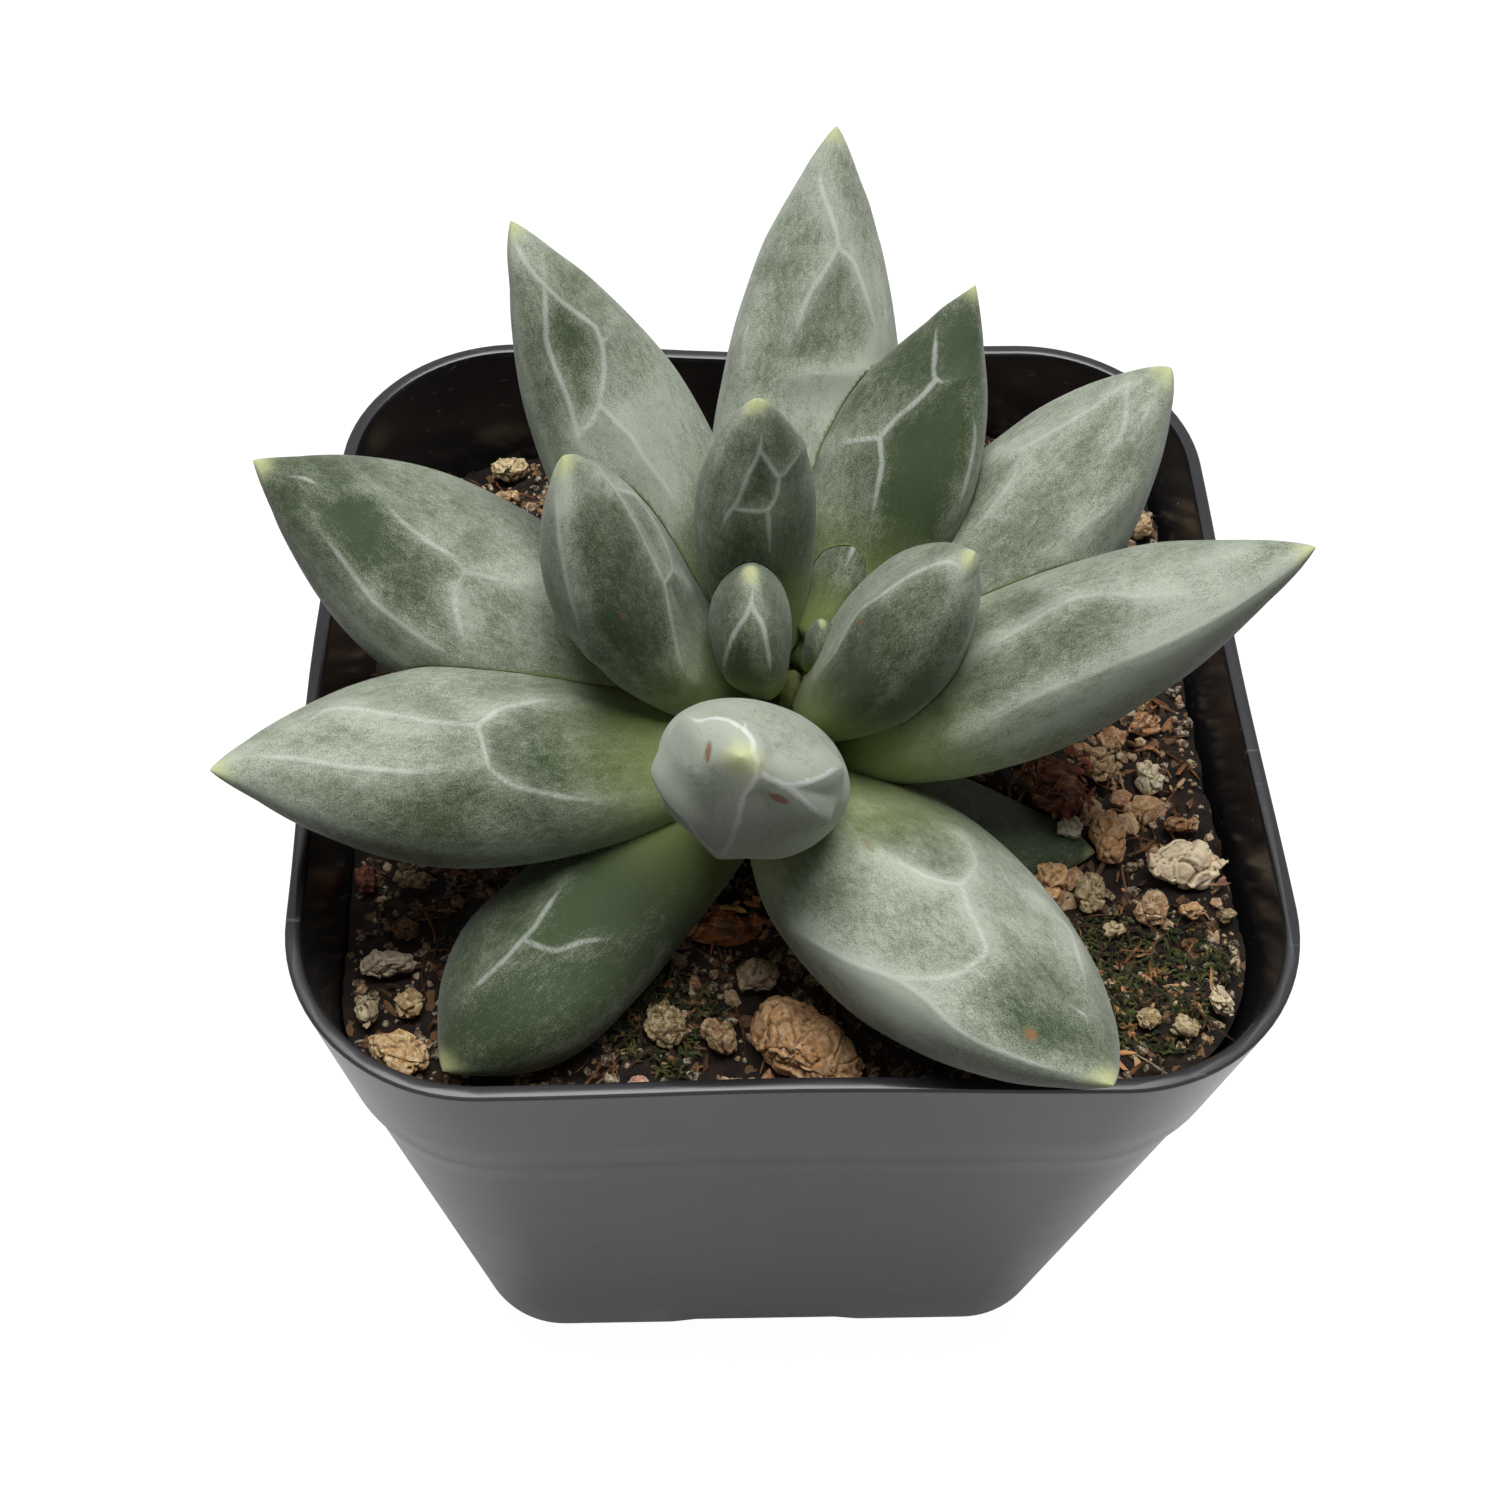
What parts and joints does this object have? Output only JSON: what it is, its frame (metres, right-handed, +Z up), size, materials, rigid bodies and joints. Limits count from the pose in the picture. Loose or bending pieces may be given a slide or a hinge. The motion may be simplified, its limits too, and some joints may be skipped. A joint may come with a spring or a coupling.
{
  "type": "potted succulent",
  "caption": "Rosette succulent with plump pointed grey-green leaves on a short stem, in gritty soil in a small square tapered black plastic pot.",
  "frame": {"origin": "on the surface that the pot stands on, under the middle of the whole object's outline seen from above", "axes": "+Z up along the pot's height, away from the surface it stands on; -Y towards the viewer, the side where the broadest low leaf hangs over the rim; +X to the viewer's right"},
  "size_m": [0.0734, 0.0742, 0.0965],
  "materials": {
    "pot_plastic": "satin",
    "soil": "matte",
    "stem": "matte",
    "leaf": "satin",
    "grit_stone": "matte",
    "bark": "matte"
  },
  "bodies": {
    "root": {"pot": "pot_plastic", "soil": "soil", "stem": "stem", "leaf_01": "leaf", "leaf_02": "leaf", "leaf_03": "leaf", "leaf_04": "leaf", "leaf_05": "leaf", "leaf_06": "leaf", "leaf_07": "leaf", "leaf_08": "leaf", "leaf_09": "leaf", "leaf_10": "leaf", "leaf_11": "leaf", "leaf_12": "leaf", "leaf_13": "leaf", "leaf_14": "leaf", "leaf_15": "leaf", "leaf_16": "leaf", "leaf_17": "leaf", "stone_01": "grit_stone", "stone_02": "grit_stone", "stone_03": "grit_stone", "stone_04": "grit_stone", "stone_05": "grit_stone", "stone_06": "grit_stone", "stone_07": "grit_stone", "stone_08": "grit_stone", "stone_09": "grit_stone", "stone_10": "grit_stone", "stone_11": "grit_stone", "stone_12": "grit_stone", "stone_13": "grit_stone", "stone_14": "grit_stone", "stone_15": "grit_stone", "stone_16": "grit_stone", "stone_17": "grit_stone", "stone_18": "grit_stone", "stone_19": "grit_stone", "stone_20": "grit_stone", "stone_21": "grit_stone", "stone_22": "grit_stone", "stone_23": "grit_stone", "stone_24": "grit_stone", "stone_25": "grit_stone", "stone_26": "grit_stone", "stone_27": "grit_stone", "stone_28": "grit_stone", "stone_29": "grit_stone", "stone_30": "grit_stone", "stone_31": "grit_stone", "stone_32": "grit_stone", "stone_33": "grit_stone", "stone_34": "grit_stone", "bark_01": "bark", "bark_02": "bark", "bark_03": "bark"}
  },
  "joints": []
}
